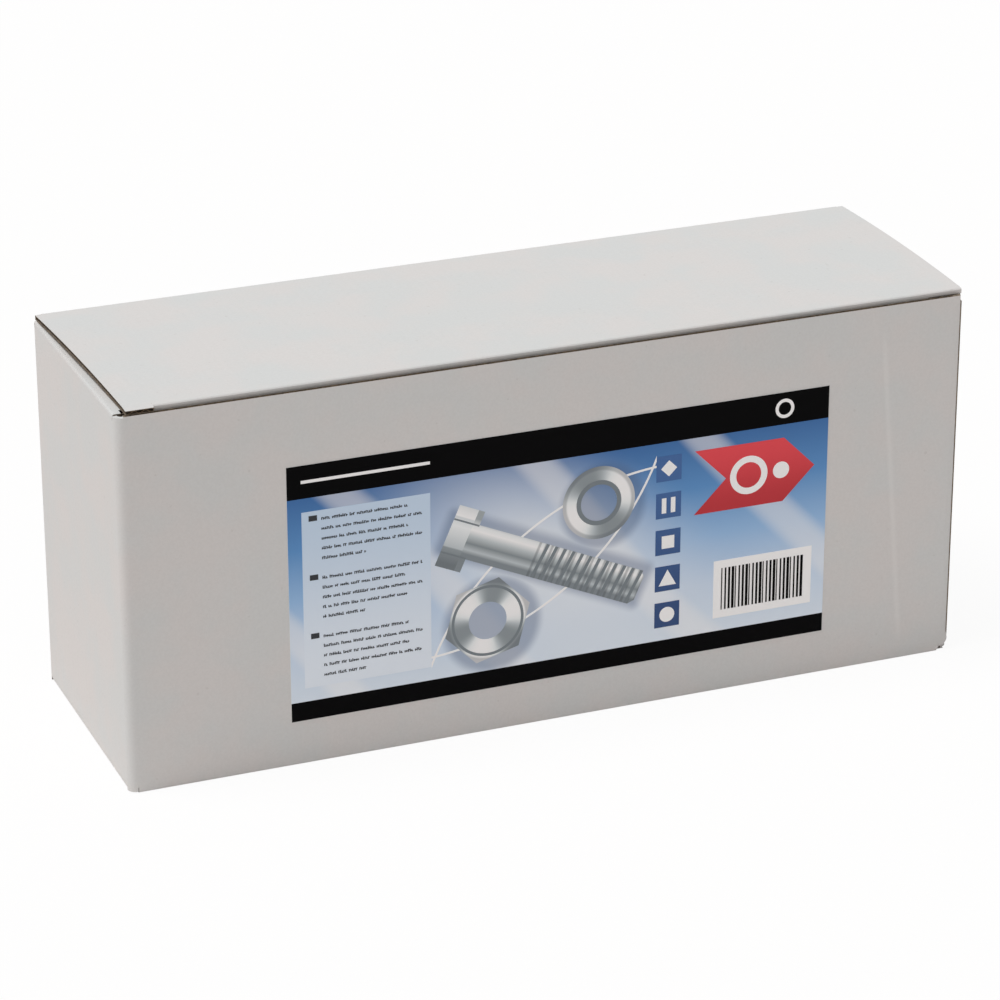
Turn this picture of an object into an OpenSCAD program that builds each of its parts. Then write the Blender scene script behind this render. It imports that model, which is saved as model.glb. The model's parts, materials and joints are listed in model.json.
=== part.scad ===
// Tuck-top corrugated carton with a printed label on its front panel.
// X runs along the carton, left to right, Y from front to back and Z up.
// The origin is the middle of the base, on the surface that the carton stands on.
// All of it apart from the label is folded from one cut blank of board.

/* [Carton] */
// Outside length of the carton, left to right
carton_l = 310; // [250:1:400]
// Outside depth of the carton, front to back
carton_w = 98.5; // [85:0.5:140]
// Outside height at the folded edges of the lid
carton_h = 139; // [115:1:200]

/* [Board] */
// Thickness of the corrugated board
board_t = 1.6; // [1.2:0.1:2]
// Inside radius of the upright folds between the walls
wall_fold_r = 1.4; // [0.8:0.1:2]
// Inside radius of the folds that carry the lid and the flaps
flap_fold_r = 0.4; // [0.3:0.1:0.8]
// Depth that a crease leaves pressed into the inside of the board
crease_d = 0.4; // [0.2:0.1:0.6]
// Height that a fold of the lid stands proud of the panel beside it
crease_step = 0.1; // [0.05:0.05:0.3]
// Width of the slot cut between neighbouring folds at a corner
slot_w = 0.2; // [0.1:0.1:1]
// Distance from the slots' ends to the foot and to the top of a corner
slot_end = 0.5; // [0.2:0.1:0.8]

/* [Glued corner joint] */
// Width of the glue tab at its top end
tab_top_w = 31; // [24:1:40]
// Width of the glue tab at its foot
tab_foot_w = 21; // [14:1:30]
// Distance from the front panel's top edge down to the tab
tab_drop = 9; // [8:0.5:14]
// Distance from the floor up to the tab
tab_lift = 9; // [6:0.5:16]
// Distance that the front panel's cut edge stops short of the corner
cut_edge_gap = 1.2; // [0.6:0.1:2]
// Radius of the front panel's free lower corner
cut_corner_r = 3; // [1:0.5:6]
// Depth to which the glued faces press into each other
glue_squash = 0.1; // [0.05:0.05:0.2]

/* [Lid] */
// Rise of the middle of the lid above its folded edges
lid_crown = 1.1; // [0.4:0.1:1.6]
// Distance that each end of the lid stops short of the carton's end
lid_end_gap = 0.6; // [0:0.1:1]
// Distance that the lid's left end draws in on its way to the front
lid_taper = 3.2; // [0:0.1:5]
// Clearance between the lid and the flaps or the wall below it
lid_gap = 0.4; // [0.3:0.1:0.8]
// Height of the tuck flap, measured down from the front fold
tuck_h = 26; // [22:1:32]
// Radius of the tuck flap's lower corners
tuck_corner_r = 16; // [6:1:20]
// Clearance between each end of the tuck flap and the end wall
tuck_end_gap = 1.9; // [1.5:0.1:3]
// Clearance between the front fold and the front panel
tuck_gap = 0.4; // [0.3:0.1:0.8]
// Length of the lock slit at each end of the front fold
slit_l = 13; // [8:0.5:16]
// Distance from the front face back to the lid's edge at the left slit
slit_edge_gap = 0.4; // [0:0.1:1]

/* [Dust flaps] */
// Length of each dust flap, from the end wall inwards
dust_l = 62; // [50:1:75]
// Clearance between a dust flap and the path of the tuck flap
dust_gap = 0.6; // [0.4:0.1:2]
// Length of the straight shoulder beside the end fold
dust_shoulder_l = 14; // [10:0.5:20]
// Depth of the step behind the shoulder
dust_step = 5; // [3:0.5:8]
// Distance that each side of a dust flap tapers in towards its free end
dust_taper = 7; // [2:0.5:10]
// Radius of the dust flap's free corners
dust_corner_r = 9; // [4:0.5:14]

/* [Self-locking base] */
// Slope, in degrees, at which an inner base flap climbs onto the outer ones
base_slope = 16; // [10:1:30]
// Clearance between that slope and the outer base flaps
base_end_gap = 1; // [0.5:0.1:3]
// Gap between the outer base flaps along the middle
base_seam = 0.8; // [0.4:0.1:2]
// Length of each inner base flap, from the end wall inwards
base_inner_l = 58; // [45:1:66]
// Depth of the straight free end of an inner base flap
base_inner_end = 44; // [30:1:50]
// Length of each lock hook past the middle
hook_l = 24; // [16:1:30]
// Distance from the carton's middle to a hook's nearer side
hook_x = 6; // [3:0.5:12]
// Clearance between a hook's far side and the inner base flap
hook_end_gap = 8; // [4:0.5:14]
// Length of the slope that lifts a hook over the other flap
hook_ramp_l = 9; // [6:0.5:14]
// Clearance beside and below a hook
hook_gap = 0.2; // [0.1:0.05:0.4]
// Radius of a hook's free corners
hook_corner_r = 12; // [4:0.5:14]

/* [Label] */
// Width of the printed label
label_w = 200; // [170:1:230]
// Height of the printed label
label_h = 94; // [85:1:105]
// Distance from the carton's middle to the label's middle, to the right
label_x = 3; // [-8:0.5:8]
// Distance from the floor up to the label's middle
label_z = 63.5; // [58:0.5:75]
// Thickness of the label's paper
paper_t = 0.15; // [0.1:0.05:0.3]
// Thickness of one printed layer
ink_t = 0.05; // [0.05:0.01:0.1]
// Height of the dark band along the top of the label
top_band_h = 12; // [8:0.5:14]
// Height of the dark band along the foot of the label
foot_band_h = 7; // [4:0.5:10]
// Margin round the printed motifs
print_margin = 5; // [3:0.5:8]

/* [Printed panels] */
// Width of the pale text panel
text_panel_w = 46; // [38:1:50]
// Height of one printed stroke that stands for a line of small print
stroke_h = 1.1; // [0.8:0.1:1.6]
// Width of the red arrow
arrow_w = 46; // [34:1:48]
// Height of the red arrow
arrow_h = 24; // [16:1:26]
// Width of the white panel that holds the bars
bar_panel_w = 38; // [26:1:44]
// Height of the white panel that holds the bars
bar_panel_h = 22; // [14:1:24]
// Width of the clear edge round the bars
bar_edge = 3; // [2:0.5:4]
// Side of a small square sign
sign_s = 9.5; // [6:0.5:10]
// Width of the white arcs behind the motifs
arc_w = 0.8; // [0.4:0.1:1.5]

/* [Printed hardware] */
// Length of the bolt, head included
bolt_l = 78; // [60:1:80]
// Diameter of the bolt's shank
bolt_d = 13; // [9:0.5:14]
// Width of the bolt's head
bolt_head_w = 23; // [18:0.5:24]
// Height of the bolt's head
bolt_head_h = 10; // [7:0.5:12]
// Length of the bolt's thread
bolt_thread_l = 42; // [30:1:46]
// Slope of the bolt, in degrees
bolt_slope = 24; // [10:1:28]
// Distance across the flats of the nut
nut_flats = 28; // [22:0.5:30]
// Diameter of the nut's bore
nut_bore_d = 14; // [10:0.5:15]
// Outside diameter of the washer
washer_d = 27; // [20:0.5:28]

/* [Hidden] */
$fn = 96;

half_l = carton_l / 2;
half_w = carton_w / 2;
wall_ro = wall_fold_r + board_t;
flap_ro = flap_fold_r + board_t;
fold_x = half_l - wall_ro;
fold_y = half_w - wall_ro;
over = 1;               // how far a cutting shape reaches past what it cuts

// The back fold turns about a line on its outer face, half way round the bend.
hinge_cy = half_w - flap_ro;
hinge_cz = carton_h - flap_ro;
hinge_y = hinge_cy + flap_ro * cos(45);
hinge_z = hinge_cz + flap_ro * sin(45);
hinge_play = 2;         // degrees left open on each side of the fold's middle

// The front fold of the lid stands just inside the front panel, and the tuck
// flap leans back from it, to pass behind the glue tab.
front_cy = -half_w + board_t + tuck_gap + flap_ro;
tuck_lean = atan((board_t + tuck_gap) / tab_drop);
tuck_half_l = half_l - board_t - tuck_end_gap;

// The lid bows up along one arc from fold to fold.
lid_half_l = half_l - lid_end_gap;
lid_half_w = (hinge_cy - front_cy) / 2;
crown_r = (pow(lid_half_w, 2) + pow(lid_crown, 2)) / (2 * lid_crown);
crown_cy = (hinge_cy + front_cy) / 2;
crown_cz = carton_h - crease_step + lid_crown - crown_r;
crown_fn = 720;
slit_x = lid_half_l - slit_l;
ear_a = 180;            // angle to which the right ear is bent down at the fold

// Closest that the tuck flap comes to the hinge line as the lid opens.
tuck_line_y = front_cy - flap_ro / cos(tuck_lean) - (hinge_z - hinge_cz) * tan(tuck_lean);
tuck_sweep_r = (hinge_y - tuck_line_y) * cos(tuck_lean) - board_t;

wall_top = carton_h - board_t - lid_gap;
front_top = wall_top - 0.1;
corner_top = wall_top - slot_end;
tuck_top = front_top - slot_end;
dust_y0 = hinge_y - tuck_sweep_r + dust_gap;
dust_y1 = fold_y - slot_w;
dust_cz = wall_top - flap_ro;
dust_lip = board_t + tuck_end_gap - tuck_gap - flap_ro;
tab_y = -half_w + board_t - glue_squash;
joint_y = tab_y + wall_ro;
tab_slope = 4;          // height of the slanted ends of the glue tab

// An inner base flap climbs one board thickness between these two lengths.
base_rise = board_t - flap_ro * (1 - cos(base_slope));
base_run = flap_ro * sin(base_slope) + base_rise / tan(base_slope);
base_top_rise = 2 * board_t - flap_ro + flap_fold_r * cos(base_slope);
base_top_run = flap_fold_r * sin(base_slope) + base_top_rise / tan(base_slope);
base_x = half_l - flap_ro - base_run - base_end_gap;
base_front_x = half_l - cut_edge_gap - cut_corner_r;
hook_x1 = half_l - base_inner_l - hook_end_gap;

label_y = -half_w - paper_t;

module ring_sector(r_out, r_in, a0, a1) {
    reach = 1.5 * r_out;
    mid = (a0 + a1) / 2;
    intersection() {
        difference() {
            circle(r = r_out);
            circle(r = r_in);
        }
        polygon(reach * [[0, 0], [cos(a0), sin(a0)], [cos(mid), sin(mid)], [cos(a1), sin(a1)]]);
    }
}

// Section through a fold of the board, between two angles about its own centre.
module fold(r_in, a0, a1) {
    ring_sector(r_in + board_t, r_in, a0, a1);
}

module box(x0, x1, y0, y1, z0, z1) {
    translate([x0, y0, z0]) cube([x1 - x0, y1 - y0, z1 - z0]);
}

// Stretches an outline drawn in Y and Z along X.
module along_x(x0, x1) {
    translate([x0, 0, 0]) rotate([90, 0, 90]) linear_extrude(x1 - x0) children();
}

// Stretches an outline drawn in X and Z along Y.
module along_y(y0, y1) {
    translate([0, y1, 0]) rotate([90, 0, 0]) linear_extrude(y1 - y0) children();
}

// What is cut from a corner at the origin to round it, the board lying in -X and -Y.
module corner_waste(r) {
    difference() {
        translate([-r, -r]) square(r + over);
        translate([-r, -r]) circle(r = r);
    }
}

module upright_fold(x, y, a0) {
    translate([x, y, slot_end]) linear_extrude(corner_top - slot_end)
        fold(wall_fold_r, a0, a0 + 90);
}

// The front panel ends in a cut edge at the right, where it covers the glue tab.
module front_panel() {
    cut_x = half_l - cut_edge_gap;
    along_y(-half_w, -half_w + board_t) difference() {
        translate([-fold_x, flap_ro]) square([fold_x + cut_x, front_top - flap_ro]);
        translate([cut_x, flap_ro]) mirror([0, 1]) corner_waste(cut_corner_r);
    }
}

module end_wall(y0) {
    box(-half_l, -half_l + board_t, y0, fold_y, flap_ro, dust_cz);
}

module walls() {
    front_panel();
    box(-fold_x, fold_x, half_w - board_t, half_w, flap_ro, hinge_cz);
    end_wall(-fold_y);
    mirror([1, 0, 0]) end_wall(joint_y);
    upright_fold(-fold_x, -fold_y, 180);
    upright_fold(-fold_x, fold_y, 90);
    upright_fold(fold_x, fold_y, 0);
    upright_fold(fold_x, joint_y, 270);
}

// Carries on from the right end wall and is glued inside the front panel.
module glue_tab() {
    tab_top = front_top - tab_drop;
    along_y(tab_y, tab_y + board_t) polygon([
        [fold_x, tab_lift - tab_slope],
        [fold_x, tab_top],
        [half_l - tab_top_w, tab_top - tab_slope],
        [half_l - tab_foot_w, tab_lift]
    ]);
}

// The carton's half of the fold that the lid turns on.
module hinge_fold() {
    along_x(-fold_x, fold_x)
        translate([hinge_cy, hinge_cz]) fold(flap_fold_r, 0, 45 - hinge_play);
}

// Outline of the left dust flap, with its fold at x = 0. Its front edge starts
// with a narrow lip that passes the end of the tuck flap.
module dust_outline(lip_y) {
    step_y = dust_y0 + dust_step;
    end_x = dust_l - flap_ro;
    difference() {
        polygon([
            [0, lip_y],
            [dust_lip, lip_y],
            [dust_lip, dust_y0],
            [dust_shoulder_l, dust_y0],
            [dust_shoulder_l + dust_step, step_y],
            [end_x, step_y + dust_taper],
            [end_x, dust_y1 - dust_taper],
            [dust_step, dust_y1],
            [0, dust_y1]
        ]);
        translate([end_x, dust_y1 - dust_taper]) corner_waste(dust_corner_r);
        translate([end_x, step_y + dust_taper]) mirror([0, 1]) corner_waste(dust_corner_r);
    }
}

module dust_flap(wall_y0) {
    lip_y = wall_y0 + slot_w;
    translate([-half_l + flap_ro, dust_y1, dust_cz]) rotate([90, 0, 0])
        linear_extrude(dust_y1 - lip_y) fold(flap_fold_r, 90, 180);
    translate([-half_l + flap_ro, 0, wall_top - board_t])
        linear_extrude(board_t) dust_outline(lip_y);
}

// An outer base flap runs from the front wall to the middle of the base, and on
// its right half it carries a hook that rides up over the flap opposite.
module base_outer(x0, x1) {
    fold_cy = -half_w + flap_ro;
    seam_y = -base_seam / 2;
    ramp_y = seam_y - hook_ramp_l;
    lift = board_t + hook_gap;
    along_x(x0, x1)
        translate([fold_cy, flap_ro]) fold(flap_fold_r, 180, 270);
    difference() {
        linear_extrude(board_t) polygon([
            [x0, fold_cy],
            [x1, fold_cy],
            [base_x, fold_cy + x1 - base_x],
            [base_x, seam_y],
            [-base_x, seam_y],
            [-base_x, fold_cy - x0 - base_x]
        ]);
        box(hook_x - hook_gap, hook_x1 + hook_gap, ramp_y, over, -over, board_t + over);
    }
    intersection() {
        along_x(hook_x, hook_x1) polygon([
            [ramp_y - over, 0],
            [ramp_y, 0],
            [seam_y, lift],
            [hook_l, lift],
            [hook_l, lift + board_t],
            [seam_y, lift + board_t],
            [ramp_y, board_t],
            [ramp_y - over, board_t]
        ]);
        linear_extrude(lift + board_t + over) difference() {
            translate([hook_x, ramp_y - over]) square([hook_x1 - hook_x, hook_l - ramp_y + over]);
            translate([hook_x1, hook_l]) corner_waste(hook_corner_r);
            translate([hook_x, hook_l]) mirror([1, 0]) corner_waste(hook_corner_r);
        }
    }
}

// An inner base flap climbs from its fold onto the outer flaps. Its diagonal
// crease is what lets the flat carton spring open. It is drawn at the left end.
module base_inner(y1) {
    y0 = -fold_y + slot_w;
    fold_cx = -half_l + flap_ro;
    flat_x = fold_cx + base_run + base_end_gap;
    end_x = -half_l + base_inner_l;
    side = base_run + base_end_gap;
    bevel = (base_inner_l - flap_ro) / 2;
    slope_end = [sin(base_slope), -cos(base_slope)];
    difference() {
        intersection() {
            along_y(y0, y1) translate([fold_cx, flap_ro]) {
                fold(flap_fold_r, 180, 270 + base_slope);
                polygon([
                    flap_ro * slope_end,
                    [base_run, board_t - flap_ro],
                    [end_x - fold_cx, board_t - flap_ro],
                    [end_x - fold_cx, 2 * board_t - flap_ro],
                    [base_top_run, 2 * board_t - flap_ro],
                    flap_fold_r * slope_end,
                    [0, -flap_ro + board_t / 2]
                ]);
            }
            linear_extrude(2 * board_t + over) polygon([
                [-half_l, y0],
                [fold_cx, y0],
                [flat_x, y0 + side],
                [fold_cx + bevel, y0 + side],
                [end_x, -base_inner_end / 2],
                [end_x, base_inner_end / 2],
                [end_x - side, y1 - side],
                [flat_x, y1 - side],
                [fold_cx, y1],
                [-half_l, y1]
            ]);
        }
        translate([flat_x, y1 - side, 2 * board_t]) rotate([0, 0, -45]) rotate([45, 0, 0])
            translate([0, -crease_d, -crease_d]) cube([base_inner_l, 2 * crease_d, 2 * crease_d]);
    }
}

// Everything that is folded from the one blank, apart from the lid.
module carton() {
    color("gainsboro") {
        walls();
        glue_tab();
        hinge_fold();
        dust_flap(-fold_y);
        mirror([1, 0, 0]) dust_flap(joint_y);
        base_outer(-fold_x + slot_w, base_front_x);
        rotate([0, 0, 180]) base_outer(-fold_x + slot_w, fold_x - slot_w);
        base_inner(fold_y - slot_w);
        rotate([0, 0, 180]) base_inner(fold_y - board_t - slot_w);
    }
}

// The lid's panel between two lines across the carton.
module lid_panel(x0, x1, y0, y1) {
    along_x(x0, x1) intersection() {
        translate([crown_cy, crown_cz]) difference() {
            circle(r = crown_r, $fn = crown_fn);
            translate([0, -board_t]) circle(r = crown_r, $fn = crown_fn);
        }
        translate([y0, carton_h / 2]) square([y1 - y0, carton_h]);
    }
}

// The left end tapers in towards the front, and ends at the lock slit.
module lid_left_end() {
    front_y = -half_w + slit_edge_gap;
    intersection() {
        lid_panel(-lid_half_l, -slit_x, front_y, hinge_cy);
        linear_extrude(2 * carton_h) polygon([
            [-lid_half_l, hinge_cy],
            [-lid_half_l + lid_taper, front_y],
            [-slit_x, front_y],
            [-slit_x, hinge_cy]
        ]);
    }
}

module lid() {
    tuck_foot = hinge_cz - tuck_h * cos(tuck_lean);
    color("gainsboro") {
        lid_panel(-slit_x, lid_half_l, front_cy, hinge_cy);
        lid_left_end();
        along_x(-fold_x, fold_x) translate([hinge_cy, hinge_cz])
            fold(flap_fold_r, 45 + hinge_play, 90);
        along_x(-slit_x, lid_half_l) translate([front_cy, hinge_cz])
            fold(flap_fold_r, 90, ear_a);
        along_x(-slit_x, slit_x) translate([front_cy, hinge_cz])
            fold(flap_fold_r, ear_a, 180 + tuck_lean);
        intersection() {
            along_x(-tuck_half_l, tuck_half_l) translate([front_cy, hinge_cz])
                rotate(tuck_lean) translate([-flap_ro, -tuck_h]) square([board_t, tuck_h]);
            along_y(-half_w, half_w) difference() {
                union() {
                    translate([-tuck_half_l, tuck_foot]) square([2 * tuck_half_l, tuck_top - tuck_foot]);
                    translate([-slit_x, tuck_top - over]) square([2 * slit_x, carton_h]);
                }
                for (end = [0, 1]) mirror([end, 0])
                    translate([tuck_half_l, tuck_foot]) mirror([0, 1]) corner_waste(tuck_corner_r);
            }
        }
    }
}

// Places one printed layer on the label: 0 is the first ink on the paper.
// Outlines are drawn from the label's lower left corner.
module printed(layer) {
    y1 = label_y - layer * ink_t;
    translate([label_x - label_w / 2, 0, label_z - label_h / 2])
        along_y(y1 - ink_t, y1) children();
}

field_h = label_h - top_band_h - foot_band_h;
field_mid = foot_band_h + field_h / 2;
inner_h = field_h - 2 * print_margin;
inner_v = foot_band_h + print_margin;
right_u = label_w - print_margin;
text_u = print_margin;
arrow_u = right_u - arrow_w;
arrow_v = inner_v + inner_h - arrow_h;
bar_panel_u = right_u - bar_panel_w;
sign_count = 5;
sign_u = arrow_u - print_margin - sign_s;
sign_pitch = (inner_h - sign_s) / (sign_count - 1);
hardware_u0 = text_u + text_panel_w;
hardware_u = (hardware_u0 + sign_u) / 2;
text_groups = 3;
text_lines = 5;
bar_count = 24;

module label_paper() {
    color("white") translate([label_x - label_w / 2, 0, label_z - label_h / 2])
        along_y(label_y, -half_w) square([label_w, label_h]);
}

module label_blue() {
    color("steelblue") printed(0)
        translate([0, foot_band_h]) square([label_w, field_h]);
}

module label_black() {
    color("black") {
        printed(0) square([label_w, foot_band_h]);
        printed(0) translate([0, label_h - top_band_h]) square([label_w, top_band_h]);
        printed(2) bars();
    }
}

// Plain upright bars of four widths that stand for a code and hold none.
module bars() {
    pitch = (bar_panel_w - 2 * bar_edge) / bar_count;
    for (i = [0 : bar_count - 1])
        translate([bar_panel_u + bar_edge + i * pitch, inner_v + bar_edge])
            square([pitch * (0.3 + 0.15 * ((i * 5) % 4)), bar_panel_h - 2 * bar_edge]);
}

module label_pale() {
    color("lightsteelblue") printed(1)
        translate([text_u, inner_v]) square([text_panel_w, inner_h]);
}

// Rows of plain strokes that stand for small print, in groups with a bullet.
module label_text() {
    group_h = inner_h / text_groups;
    pitch = group_h / (text_lines + 1);
    indent = 7;
    longest = text_panel_w - indent - 3;
    color("black") printed(2)
        for (g = [0 : text_groups - 1], i = [0 : text_lines - 1]) {
            share = i == text_lines - 1 ? 0.45 : 0.86 + 0.14 * ((i + g) % 2);
            v = inner_v + inner_h - g * group_h - (i + 1) * pitch;
            translate([text_u + indent, v]) square([longest * share, stroke_h]);
            if (i == 0) translate([text_u + 2.5, v]) square([3, stroke_h * 1.8]);
        }
}

// A square sign for each place in the column beside the hardware.
module label_navy() {
    color("midnightblue") printed(1) for (i = [0 : sign_count - 1])
        translate([sign_u, inner_v + i * sign_pitch]) square(sign_s);
}

module sign_figure(i) {
    if (i == 0) circle(d = sign_s * 0.6);
    if (i == 1) polygon(sign_s * 0.35 * [[-1, -0.8], [1, -0.8], [0, 1]]);
    if (i == 2) square(sign_s * 0.5, center = true);
    if (i == 3) for (u = [-1, 1])
        translate([u * sign_s * 0.18, 0]) square(sign_s * [0.18, 0.6], center = true);
    if (i == 4) rotate(45) square(sign_s * 0.45, center = true);
}

module label_red() {
    head = arrow_h / 2;
    color("firebrick") printed(1) translate([arrow_u, arrow_v]) polygon([
        [0, 0],
        [arrow_w - head, 0],
        [arrow_w, head],
        [arrow_w - head, arrow_h],
        [0, arrow_h],
        [head, head]
    ]);
}

module label_white() {
    middle_v = arrow_v + arrow_h / 2;
    color("white") {
        printed(1) translate([bar_panel_u, inner_v]) square([bar_panel_w, bar_panel_h]);
        printed(1) arcs();
        printed(1) translate([right_u - top_band_h, label_h - top_band_h / 2]) difference() {
            circle(d = top_band_h * 0.6);
            circle(d = top_band_h * 0.4);
        }
        printed(1) translate([text_u, label_h - (top_band_h + stroke_h) / 2])
            square([text_panel_w, stroke_h]);
        printed(2) for (i = [0 : sign_count - 1])
            translate([sign_u + sign_s / 2, inner_v + i * sign_pitch + sign_s / 2])
                sign_figure(i);
        printed(2) translate([arrow_u + arrow_w * 0.45, middle_v]) difference() {
            circle(d = arrow_h * 0.6);
            circle(d = arrow_h * 0.4);
        }
        printed(2) translate([arrow_u + arrow_w * 0.72, middle_v])
            circle(d = arrow_h * 0.26);
    }
}

// Two thin arcs that cross the blue field behind the hardware.
module arcs() {
    radius = 1.3 * field_h;
    difference() {
        intersection() {
            translate([hardware_u0, foot_band_h]) square([sign_u - hardware_u0, field_h]);
            for (side = [-1, 1])
                translate([hardware_u + side * radius / 2, field_mid - side * radius * 0.7])
                    difference() {
                        circle(r = radius + arc_w / 2);
                        circle(r = radius - arc_w / 2);
                    }
        }
        hardware_outline();
    }
}

module hexagon(flats) {
    circle(d = flats / cos(30), $fn = 6);
}

module at_bolt() {
    translate([hardware_u, field_mid]) rotate(-bolt_slope) children();
}

module at_nut() {
    translate([hardware_u - nut_flats * 0.75, inner_v + nut_flats / 2]) rotate(15) children();
}

module at_washer() {
    translate([hardware_u + washer_d * 0.75, inner_v + inner_h - washer_d / 2]) children();
}

// The bolt is drawn from the side, its head to the left.
module bolt_outline() {
    tip = bolt_d * 0.15;
    translate([-bolt_l / 2, -bolt_head_w / 2]) square([bolt_head_h, bolt_head_w]);
    polygon([
        [-bolt_l / 2, -bolt_d / 2],
        [bolt_l / 2 - tip, -bolt_d / 2],
        [bolt_l / 2, -bolt_d / 2 + tip],
        [bolt_l / 2, bolt_d / 2 - tip],
        [bolt_l / 2 - tip, bolt_d / 2],
        [-bolt_l / 2, bolt_d / 2]
    ]);
}

module hardware_outline() {
    at_bolt() bolt_outline();
    at_nut() hexagon(nut_flats);
    at_washer() circle(d = washer_d);
}

module label_silver() {
    color("silver") printed(1) {
        at_bolt() bolt_outline();
        at_nut() difference() {
            hexagon(nut_flats);
            circle(d = nut_bore_d);
        }
        at_washer() difference() {
            circle(d = washer_d);
            circle(d = washer_d / 2);
        }
    }
}

// The darker strokes on the hardware: thread, facets, chamfer and bore.
module label_steel() {
    thread_pitch = 3.5;
    thread_count = floor(bolt_thread_l / thread_pitch);
    thread_lean = 1.2;
    stroke = 1.2;
    color("slategray") printed(2) {
        at_bolt() {
            for (i = [1 : thread_count]) {
                u = bolt_l / 2 - i * thread_pitch;
                polygon([
                    [u, -bolt_d / 2],
                    [u + stroke, -bolt_d / 2],
                    [u + stroke + thread_lean, bolt_d / 2],
                    [u + thread_lean, bolt_d / 2]
                ]);
            }
            for (side = [-1, 1])
                translate([-bolt_l / 2, side * bolt_head_w * 0.27 - stroke / 4])
                    square([bolt_head_h, stroke / 2]);
        }
        at_nut() difference() {
            circle(d = nut_flats * 0.95);
            circle(d = nut_flats * 0.88);
        }
        at_washer() difference() {
            circle(d = washer_d * 0.62);
            circle(d = washer_d / 2);
        }
    }
}

carton();
lid();
label_paper();
label_blue();
label_black();
label_pale();
label_navy();
label_red();
label_silver();
label_steel();
label_white();
label_text();
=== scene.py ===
import json
import math
import random

import bmesh
import bpy
from mathutils import Euler, Matrix, Vector


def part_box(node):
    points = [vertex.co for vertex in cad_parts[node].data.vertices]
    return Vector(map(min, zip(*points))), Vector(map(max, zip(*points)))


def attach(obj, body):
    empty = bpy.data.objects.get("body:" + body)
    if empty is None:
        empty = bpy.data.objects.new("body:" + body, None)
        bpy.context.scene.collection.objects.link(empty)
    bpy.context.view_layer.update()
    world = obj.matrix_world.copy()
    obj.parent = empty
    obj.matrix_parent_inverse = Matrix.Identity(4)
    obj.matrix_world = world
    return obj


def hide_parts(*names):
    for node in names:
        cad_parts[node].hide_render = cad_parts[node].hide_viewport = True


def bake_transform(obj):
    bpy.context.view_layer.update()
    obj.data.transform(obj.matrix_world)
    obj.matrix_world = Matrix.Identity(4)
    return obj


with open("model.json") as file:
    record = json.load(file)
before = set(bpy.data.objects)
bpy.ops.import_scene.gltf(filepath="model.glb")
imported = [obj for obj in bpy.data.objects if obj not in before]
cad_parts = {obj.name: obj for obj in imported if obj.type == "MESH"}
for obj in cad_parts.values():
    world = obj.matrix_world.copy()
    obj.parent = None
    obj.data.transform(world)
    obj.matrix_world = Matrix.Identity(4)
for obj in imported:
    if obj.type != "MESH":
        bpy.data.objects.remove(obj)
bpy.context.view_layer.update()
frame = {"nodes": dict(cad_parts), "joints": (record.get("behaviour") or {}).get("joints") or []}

MM = 0.001

# Sizes of the board and its folds, as the carton's source has them
board_t = 1.6 * MM
wall_fold_r = 1.4 * MM
flap_fold_r = 0.4 * MM
slot_w = 0.2 * MM
slot_end = 0.5 * MM
wall_ro = wall_fold_r + board_t
flap_ro = flap_fold_r + board_t

# The frame gives the outside size and the line that the lid turns on
half_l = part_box("carton")[1].x
half_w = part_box("carton")[1].y
hinge = Vector(frame["joints"][0]["pos_m"])
hinge_a = math.radians(45)
hinge_cy = hinge.y - flap_ro * math.cos(hinge_a)
hinge_cz = hinge.z - flap_ro * math.sin(hinge_a)
hinge_play = math.radians(2)
carton_h = hinge_cz + flap_ro
fold_x = half_l - wall_ro
fold_y = half_w - wall_ro

# Heights at which the walls end
lid_gap = 0.4 * MM
wall_top = carton_h - board_t - lid_gap
front_drop = 0.1 * MM
front_top = wall_top - front_drop
corner_top = wall_top - slot_end
dust_cz = wall_top - flap_ro

# Glued joint at the right front corner
tab_top_w = 31 * MM
tab_foot_w = 21 * MM
tab_drop = 9 * MM
tab_lift = 9 * MM
tab_slope = 4 * MM
glue_squash = 0.1 * MM
cut_edge_gap = 1.2 * MM
cut_corner_r = 3 * MM
cut_crush = 0.65 * MM
cut_crush_start = 3 * MM
cut_crush_z = flap_ro + cut_corner_r + cut_crush_start
fold_end_slant = 1.2 * MM
tab_y = -half_w + board_t - glue_squash
tab_top = front_top - tab_drop
joint_y = tab_y + wall_ro
cut_x = half_l - cut_edge_gap
base_front_x = cut_x - cut_corner_r

# Lid and tuck flap
lid_crown = 1.1 * MM
crease_step = 0.1 * MM
lid_half_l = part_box("lid")[1].x
lid_taper = 3.2 * MM
lid_rows = 24
tuck_gap = 0.4 * MM
tuck_end_gap = 1.9 * MM
front_cy = -half_w + board_t + tuck_gap + flap_ro
tuck_lean = math.atan((board_t + tuck_gap) / tab_drop)
tuck_h = 26 * MM
tuck_l = tuck_h - flap_ro * math.tan(tuck_lean)
tuck_corner_r = 16 * MM
tuck_half_l = half_l - board_t - tuck_end_gap
tuck_top = front_top - slot_end
slit_l = 13 * MM
slit_x = lid_half_l - slit_l
slit_edge_gap = 0.4 * MM
strip_end_y = -half_w + slit_edge_gap
strip_sag = 0.4 * MM

# Dust flaps, which clear the path of the tuck flap
dust_l = 62 * MM
dust_gap = 0.6 * MM
dust_shoulder_l = 14 * MM
dust_step = 5 * MM
dust_taper = 7 * MM
dust_corner_r = 9 * MM
dust_lip = board_t + tuck_end_gap - tuck_gap - flap_ro
tuck_line_drop = (hinge.z - hinge_cz) * math.tan(tuck_lean)
tuck_line_y = front_cy - flap_ro / math.cos(tuck_lean) - tuck_line_drop
tuck_sweep_r = (hinge.y - tuck_line_y) * math.cos(tuck_lean) - board_t
dust_y0 = hinge.y - tuck_sweep_r + dust_gap
dust_y1 = fold_y - slot_w

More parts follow.
